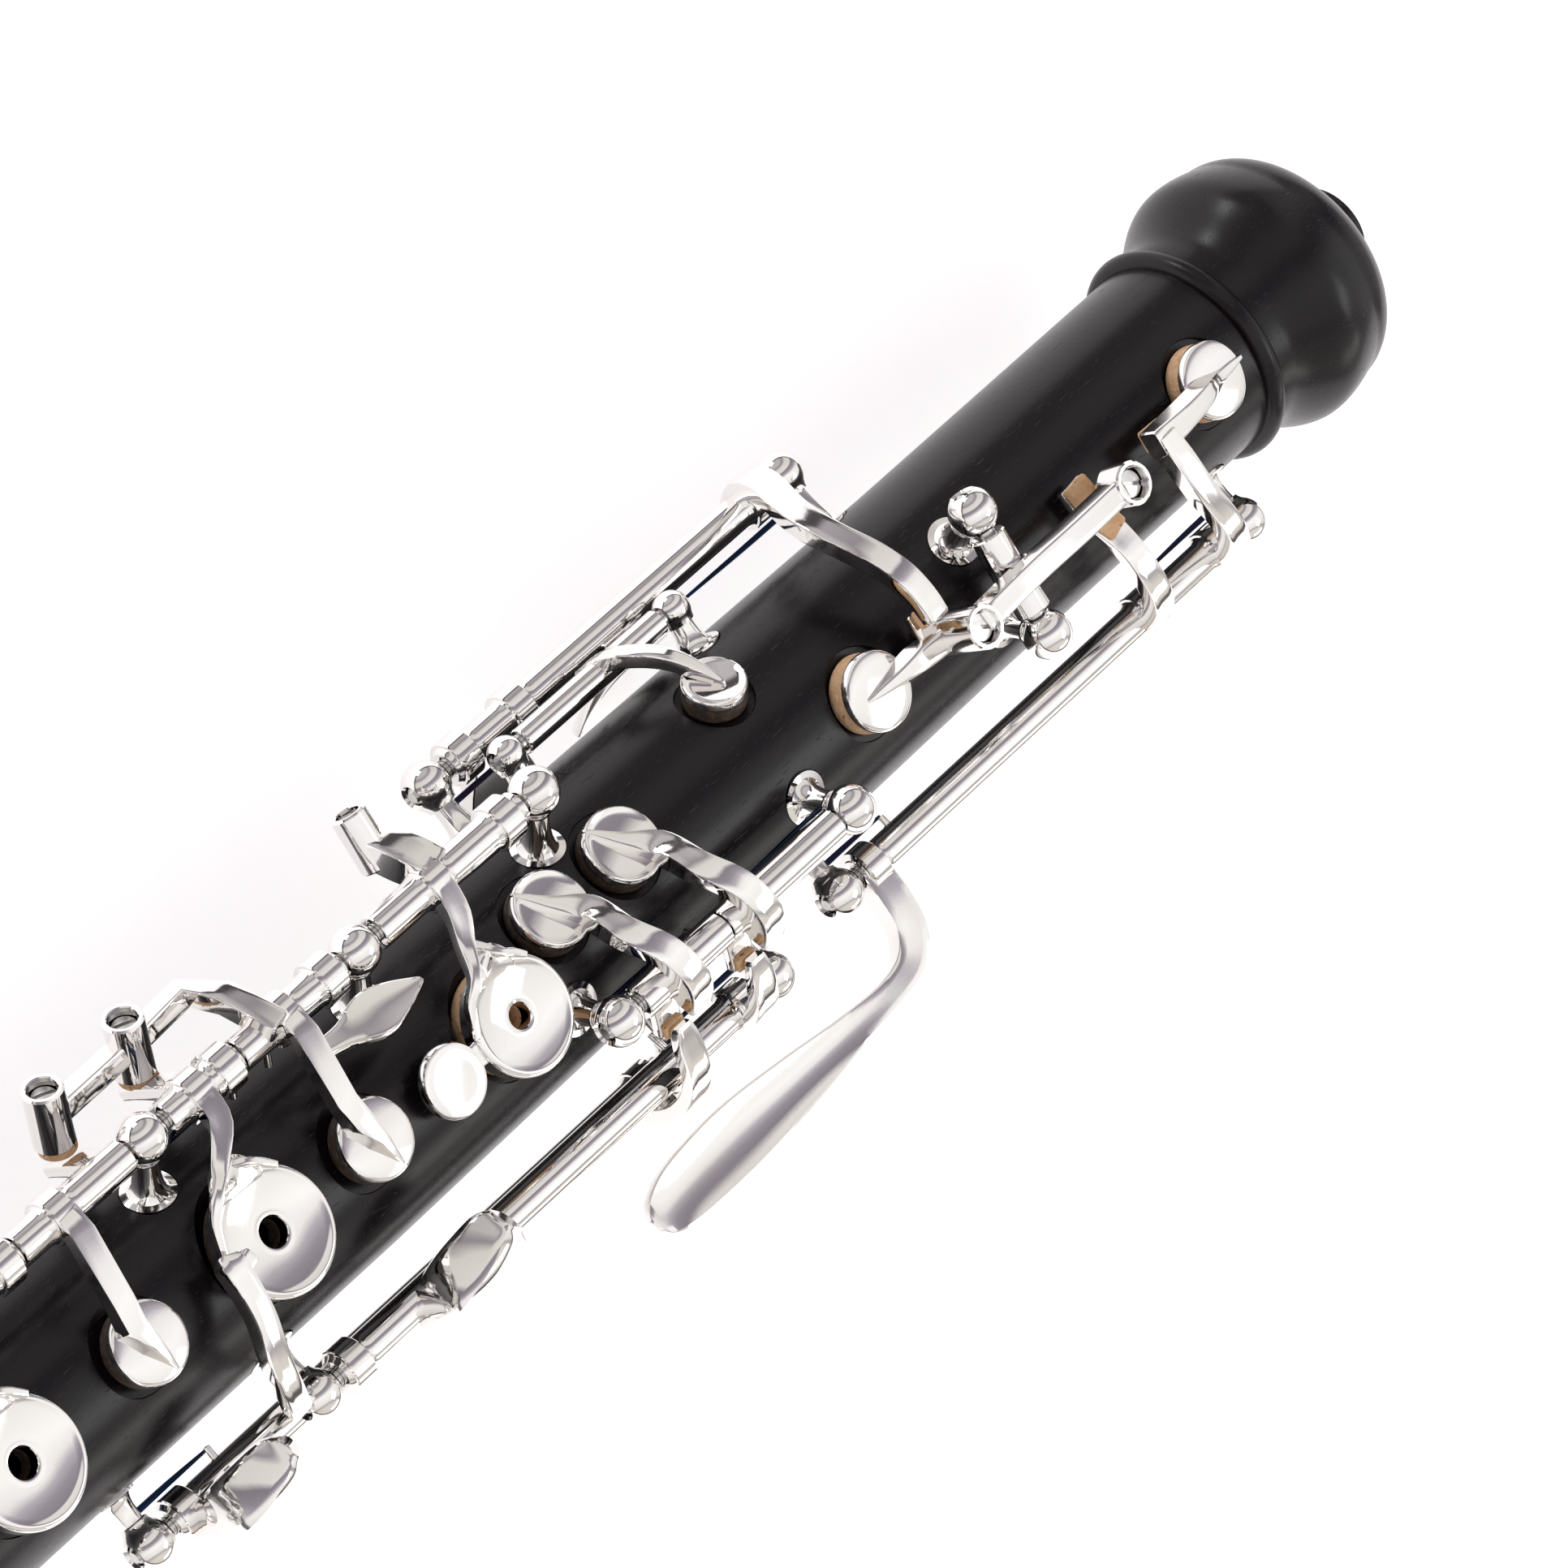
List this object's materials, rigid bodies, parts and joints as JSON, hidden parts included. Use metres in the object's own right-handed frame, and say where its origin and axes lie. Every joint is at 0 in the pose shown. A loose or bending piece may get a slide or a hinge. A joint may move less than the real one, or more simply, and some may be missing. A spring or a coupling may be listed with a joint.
{
  "type": "oboe",
  "caption": "Conservatoire oboe in black wood with silvered key-work: reed socket at the top, jointed wooden body, flared bell, and hinged keys over padded tone holes.",
  "frame": {"origin": "centre of the reed socket's mouth, on the bore axis", "axes": "+X along the bore towards the reed end; +Z towards the front, where the finger keys are; +Y to the player's right, where the main hinge rod runs"},
  "size_m": [0.6, 0.0499, 0.0447],
  "materials": {
    "grenadilla": "oiled, fine open pores, soft sheen",
    "silver": "silver plate, polished",
    "steel": "polished steel rod",
    "blued_steel": "blued spring steel",
    "brass": "satin",
    "cork": "natural cork, matt",
    "pad_skin": "dark pad skin, satin"
  },
  "bodies": {
    "instrument": {"upper_joint": "grenadilla", "lower_joint": "grenadilla", "bell": "grenadilla", "upper_tenon_cork": "cork", "lower_tenon_cork": "cork", "socket_ring": "silver", "bell_ring": "silver", "octave_vents": "brass", "upper_posts": "silver", "lower_posts": "silver", "upper_rods": "steel", "lower_rods": "steel", "needle_springs": "blued_steel", "thumb_rest": "silver", "thumb_rest_screws": "steel"},
    "octave_rocker": {"octave_rocker": "silver", "octave_rocker_pad": "cork"},
    "side_octave_key": {"side_octave_key": "silver", "side_octave_pad": "cork"},
    "thumb_octave_key": {"thumb_octave_key": "silver"},
    "third_octave_key": {"third_octave_key": "silver", "third_octave_pad": "pad_skin"},
    "upper_trill_lever": {"upper_trill_lever": "silver"},
    "lower_trill_lever": {"lower_trill_lever": "silver"},
    "upper_trill_key": {"upper_trill_key": "silver", "upper_trill_pad": "pad_skin"},
    "lower_trill_key": {"lower_trill_key": "silver", "lower_trill_pad": "pad_skin"},
    "half_hole_key": {"half_hole_key": "silver", "half_hole_pad": "cork"},
    "a_key": {"a_key": "silver", "a_pad": "pad_skin"},
    "c_key": {"c_key": "silver", "c_pad": "pad_skin"},
    "g_key": {"g_key": "silver", "g_pad": "pad_skin"},
    "b_flat_key": {"b_flat_key": "silver", "b_flat_pad": "pad_skin"},
    "g_sharp_key": {"g_sharp_key": "silver", "g_sharp_pad": "pad_skin"},
    "f_sharp_key": {"f_sharp_key": "silver", "f_sharp_pads": "pad_skin"},
    "e_key": {"e_key": "silver", "e_pad": "pad_skin"},
    "d_key": {"d_key": "silver", "d_pad": "pad_skin"},
    "f_key": {"f_key": "silver", "f_pad": "pad_skin"},
    "e_flat_key": {"e_flat_key": "silver", "e_flat_pad": "pad_skin"},
    "c_sharp_key": {"c_sharp_key": "silver", "c_sharp_pad": "pad_skin"},
    "low_c_key": {"low_c_key": "silver", "low_c_pad": "pad_skin"},
    "low_b_key": {"low_b_key": "silver", "low_b_pad": "pad_skin"},
    "low_b_flat_lever": {"low_b_flat_lever": "silver"},
    "low_b_flat_key": {"low_b_flat_key": "silver", "low_b_flat_pad": "pad_skin"}
  },
  "joints": [
    {"name": "octave_rocker_lift", "type": "hinge", "parent": "instrument", "child": "octave_rocker", "pos_m": [-0.0638, 0, 0.014], "axis": [0, 1, 0], "range_deg": [0, 5], "stiffness_Nm_per_rad": 0.01, "springref_deg": -28.65},
    {"name": "side_octave_press", "type": "hinge", "parent": "instrument", "child": "side_octave_key", "pos_m": [-0.062, -0.01389, 0.00618], "axis": [1, 0, 0], "range_deg": [0, 4.5], "stiffness_Nm_per_rad": 0.01, "springref_deg": -28.65},
    {"name": "thumb_octave_press", "type": "hinge", "parent": "instrument", "child": "thumb_octave_key", "pos_m": [-0.092, 0.01596, -0.00458], "axis": [-1, 0, 0], "range_deg": [0, 3.2], "stiffness_Nm_per_rad": 0.01, "springref_deg": -28.65},
    {"name": "third_octave_press", "type": "hinge", "parent": "instrument", "child": "third_octave_key", "pos_m": [-0.099, 0.0146, 0], "axis": [-1, 0, 0], "range_deg": [0, 10], "stiffness_Nm_per_rad": 0.01, "springref_deg": -28.65},
    {"name": "upper_trill_lever_press", "type": "hinge", "parent": "instrument", "child": "upper_trill_lever", "pos_m": [-0.136, -0.01466, 0.00779], "axis": [-1, 0, 0], "range_deg": [0, 10], "stiffness_Nm_per_rad": 0.01, "springref_deg": -28.65},
    {"name": "lower_trill_lever_press", "type": "hinge", "parent": "instrument", "child": "lower_trill_lever", "pos_m": [-0.15, -0.01585, 0.00337], "axis": [-1, 0, 0], "range_deg": [0, 10], "stiffness_Nm_per_rad": 0.01, "springref_deg": -28.65},
    {"name": "upper_trill_lift", "type": "hinge", "parent": "instrument", "child": "upper_trill_key", "pos_m": [-0.102, -0.00573, 0.01494], "axis": [1, 0, 0], "range_deg": [0, 8], "stiffness_Nm_per_rad": 0.01, "springref_deg": -28.65},
    {"name": "lower_trill_lift", "type": "hinge", "parent": "instrument", "child": "lower_trill_key", "pos_m": [-0.116, -0.00573, 0.01494], "axis": [1, 0, 0], "range_deg": [0, 8], "stiffness_Nm_per_rad": 0.01, "springref_deg": -28.65},
    {"name": "half_hole_lift", "type": "hinge", "parent": "instrument", "child": "half_hole_key", "pos_m": [-0.13, 0.01383, 0.0112], "axis": [-1, 0, 0], "range_deg": [0, 8], "stiffness_Nm_per_rad": 0.01, "springref_deg": -28.65},
    {"name": "a_press", "type": "hinge", "parent": "instrument", "child": "a_key", "pos_m": [-0.162, 0.01383, 0.0112], "axis": [1, 0, 0], "range_deg": [0, 4.5], "stiffness_Nm_per_rad": 0.01, "springref_deg": -28.65},
    {"name": "c_close", "type": "hinge", "parent": "instrument", "child": "c_key", "pos_m": [-0.15, 0.01383, 0.0112], "axis": [1, 0, 0], "range_deg": [0, 4.5], "stiffness_Nm_per_rad": 0.01, "springref_deg": -28.65},
    {"name": "g_press", "type": "hinge", "parent": "instrument", "child": "g_key", "pos_m": [-0.196, 0.01383, 0.0112], "axis": [1, 0, 0], "range_deg": [0, 4.5], "stiffness_Nm_per_rad": 0.01, "springref_deg": -28.65},
    {"name": "b_flat_close", "type": "hinge", "parent": "instrument", "child": "b_flat_key", "pos_m": [-0.178, 0.01383, 0.0112], "axis": [1, 0, 0], "range_deg": [0, 4.5], "stiffness_Nm_per_rad": 0.01, "springref_deg": -28.65},
    {"name": "g_sharp_press", "type": "hinge", "parent": "instrument", "child": "g_sharp_key", "pos_m": [-0.216, -0.01237, 0.01237], "axis": [1, 0, 0], "range_deg": [0, 8], "stiffness_Nm_per_rad": 0.01, "springref_deg": -28.65},
    {"name": "f_sharp_press", "type": "hinge", "parent": "instrument", "child": "f_sharp_key", "pos_m": [-0.279, 0.01469, 0.01189], "axis": [1, 0, 0], "range_deg": [0, 4.5], "stiffness_Nm_per_rad": 0.01, "springref_deg": -28.65},
    {"name": "e_press", "type": "hinge", "parent": "instrument", "child": "e_key", "pos_m": [-0.309, 0.01469, 0.01189], "axis": [1, 0, 0], "range_deg": [0, 4.5], "stiffness_Nm_per_rad": 0.01, "springref_deg": -28.65},
    {"name": "d_press", "type": "hinge", "parent": "instrument", "child": "d_key", "pos_m": [-0.334, 0.01469, 0.01189], "axis": [1, 0, 0], "range_deg": [0, 4.5], "stiffness_Nm_per_rad": 0.01, "springref_deg": -28.65},
    {"name": "f_press", "type": "hinge", "parent": "instrument", "child": "f_key", "pos_m": [-0.331, -0.01425, 0.01196], "axis": [-1, 0, 0], "range_deg": [0, 9], "stiffness_Nm_per_rad": 0.01, "springref_deg": -28.65},
    {"name": "e_flat_press", "type": "hinge", "parent": "instrument", "child": "e_flat_key", "pos_m": [-0.369, 0.00575, 0.01769], "axis": [-1, 0, 0], "range_deg": [0, 9], "stiffness_Nm_per_rad": 0.01, "springref_deg": -28.65},
    {"name": "c_sharp_press", "type": "hinge", "parent": "instrument", "child": "c_sharp_key", "pos_m": [-0.398, 0.0186, 0], "axis": [1, 0, 0], "range_deg": [0, 4.5], "stiffness_Nm_per_rad": 0.01, "springref_deg": -28.65},
    {"name": "low_c_press", "type": "hinge", "parent": "instrument", "child": "low_c_key", "pos_m": [-0.428, 0.0186, 0], "axis": [1, 0, 0], "range_deg": [0, 4.5], "stiffness_Nm_per_rad": 0.01, "springref_deg": -28.65},
    {"name": "low_b_press", "type": "hinge", "parent": "instrument", "child": "low_b_key", "pos_m": [-0.374, -0.01839, -0.00064], "axis": [-1, 0, 0], "range_deg": [0, 4.5], "stiffness_Nm_per_rad": 0.01, "springref_deg": -28.65},
    {"name": "low_b_flat_lever_press", "type": "hinge", "parent": "instrument", "child": "low_b_flat_lever", "pos_m": [-0.376, -0.01654, -0.00807], "axis": [-1, 0, 0], "range_deg": [0, 4.5], "stiffness_Nm_per_rad": 0.01, "springref_deg": -28.65},
    {"name": "low_b_flat_close", "type": "hinge", "parent": "instrument", "child": "low_b_flat_key", "pos_m": [-0.52, -0.01654, -0.00807], "axis": [-1, 0, 0], "range_deg": [0, 4.5], "stiffness_Nm_per_rad": 0.01, "springref_deg": -28.65}
  ],
  "couplings": [
    {"joint": "octave_rocker_lift", "follows": "thumb_octave_press", "ratio": 1.35},
    {"joint": "upper_trill_lift", "follows": "upper_trill_lever_press", "ratio": 0.8},
    {"joint": "lower_trill_lift", "follows": "lower_trill_lever_press", "ratio": 0.8},
    {"joint": "c_close", "follows": "a_press", "ratio": 1},
    {"joint": "b_flat_close", "follows": "g_press", "ratio": 1},
    {"joint": "low_b_flat_close", "follows": "low_b_flat_lever_press", "ratio": 1}
  ]
}
